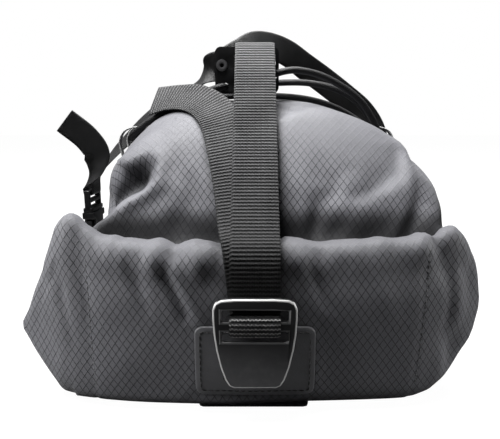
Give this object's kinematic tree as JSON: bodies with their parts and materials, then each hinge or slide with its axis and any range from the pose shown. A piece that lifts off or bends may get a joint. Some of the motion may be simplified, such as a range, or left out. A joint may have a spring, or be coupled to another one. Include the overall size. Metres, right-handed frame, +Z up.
{
  "type": "bicycle saddle bag",
  "caption": "Tapered fabric bag that straps under a bicycle saddle, with a rolled rear closure, a centre strap with a plate buckle, cord lacing and seatpost straps.",
  "frame": {"origin": "on the underside of the base panel, on the bag's centre plane, 180 mm in front of the plate buckle's rear face", "axes": "+Z up, +Y forward towards the seatpost, +X to the right seen from behind the bag"},
  "size_m": [0.274, 0.378, 0.2134],
  "materials": {
    "fabric": "coated diamond ripstop cloth, charcoal, half gloss",
    "panel": "coated reinforcement sheet, near black, satin",
    "webbing": "ribbed polyester webbing, black",
    "webbing_grey": "narrow woven tape, light grey",
    "plastic": "moulded acetal, black, fine texture",
    "buckle": "black satin coat with a worn bright edge",
    "cord": "braided elastic cord, black",
    "hook_loop": "hook-and-loop tape, black",
    "sheet": "polyethylene sheet, natural white",
    "steel": "nickel plated steel"
  },
  "bodies": {
    "bag": {"main_body": "fabric", "base_panel": "panel", "base_stiffener": "sheet", "flank_panel_right": "panel", "flank_panel_left": "panel", "nose_panel": "panel", "nose_stiffener": "sheet", "grip_strip": "hook_loop", "strap_hub": "plastic", "hub_rivet": "steel", "hub_tab": "webbing", "rail_strap_right": "webbing", "rail_strap_left": "webbing", "side_buckle_female_right": "plastic", "side_buckle_male_right": "plastic", "buckle_tab_right": "webbing", "side_buckle_female_left": "plastic", "side_buckle_male_left": "plastic", "buckle_tab_left": "webbing", "cord_loop_rear_right": "webbing_grey", "cord_loop_middle_right": "webbing_grey", "cord_loop_front_right": "webbing_grey", "cord_loop_rear_left": "webbing_grey", "cord_loop_middle_left": "webbing_grey", "cord_loop_front_left": "webbing_grey", "cord_lock_barrel": "plastic", "cord_lock_spring": "steel", "elastic_cord": "cord", "seatpost_pad_upper": "hook_loop", "seatpost_pad_lower": "hook_loop"},
    "closure_roll": {"closure_roll": "fabric", "closure_stiffener": "sheet", "hook_patch": "panel", "hook_catch": "plastic", "catch_magnet": "steel"},
    "closure_strap": {"compression_strap": "webbing", "hook_buckle": "buckle", "hook_magnet": "steel"},
    "prong_front_right": {"buckle_prong_front_right": "plastic"},
    "prong_rear_right": {"buckle_prong_rear_right": "plastic"},
    "prong_front_left": {"buckle_prong_front_left": "plastic"},
    "prong_rear_left": {"buckle_prong_rear_left": "plastic"},
    "lock_button": {"cord_lock_plunger": "plastic"},
    "post_strap_upper": {"seatpost_strap_upper": "webbing"},
    "post_strap_lower": {"seatpost_strap_lower": "webbing"}
  },
  "joints": [
    {"name": "roll_open", "type": "hinge", "parent": "bag", "child": "closure_roll", "pos_m": [0, -0.166, 0.004], "axis": [1, 0, 0], "range_deg": [0, 35]},
    {"name": "strap_swing", "type": "hinge", "parent": "bag", "child": "closure_strap", "pos_m": [0, -0.07605, 0.19685], "axis": [-1, 0, 0], "range_deg": [0, 100]},
    {"name": "squeeze_right", "type": "slide", "parent": "bag", "child": "prong_front_right", "axis": [0, -1, 0], "range_m": [0, 0.0022]},
    {"name": "squeeze_right_rear", "type": "slide", "parent": "bag", "child": "prong_rear_right", "axis": [0, 1, 0], "range_m": [0, 0.0022]},
    {"name": "squeeze_left", "type": "slide", "parent": "bag", "child": "prong_front_left", "axis": [0, -1, 0], "range_m": [0, 0.0022]},
    {"name": "squeeze_left_rear", "type": "slide", "parent": "bag", "child": "prong_rear_left", "axis": [0, 1, 0], "range_m": [0, 0.0022]},
    {"name": "cord_lock_press", "type": "slide", "parent": "bag", "child": "lock_button", "axis": [0, 0, -1], "range_m": [0, 0.003], "deforming": ["cord_lock_spring"]},
    {"name": "post_strap_upper_open", "type": "hinge", "parent": "bag", "child": "post_strap_upper", "pos_m": [-0.0275, 0.1583, 0.085], "axis": [0, 0, 1], "range_deg": [0, 80]},
    {"name": "post_strap_lower_open", "type": "hinge", "parent": "bag", "child": "post_strap_lower", "pos_m": [-0.0275, 0.1583, 0.05], "axis": [0, 0, 1], "range_deg": [0, 80]}
  ],
  "couplings": [
    {"joint": "strap_swing", "follows": "roll_open", "ratio": 2.857},
    {"joint": "squeeze_right_rear", "follows": "squeeze_right", "ratio": 1},
    {"joint": "squeeze_left_rear", "follows": "squeeze_left", "ratio": 1}
  ]
}
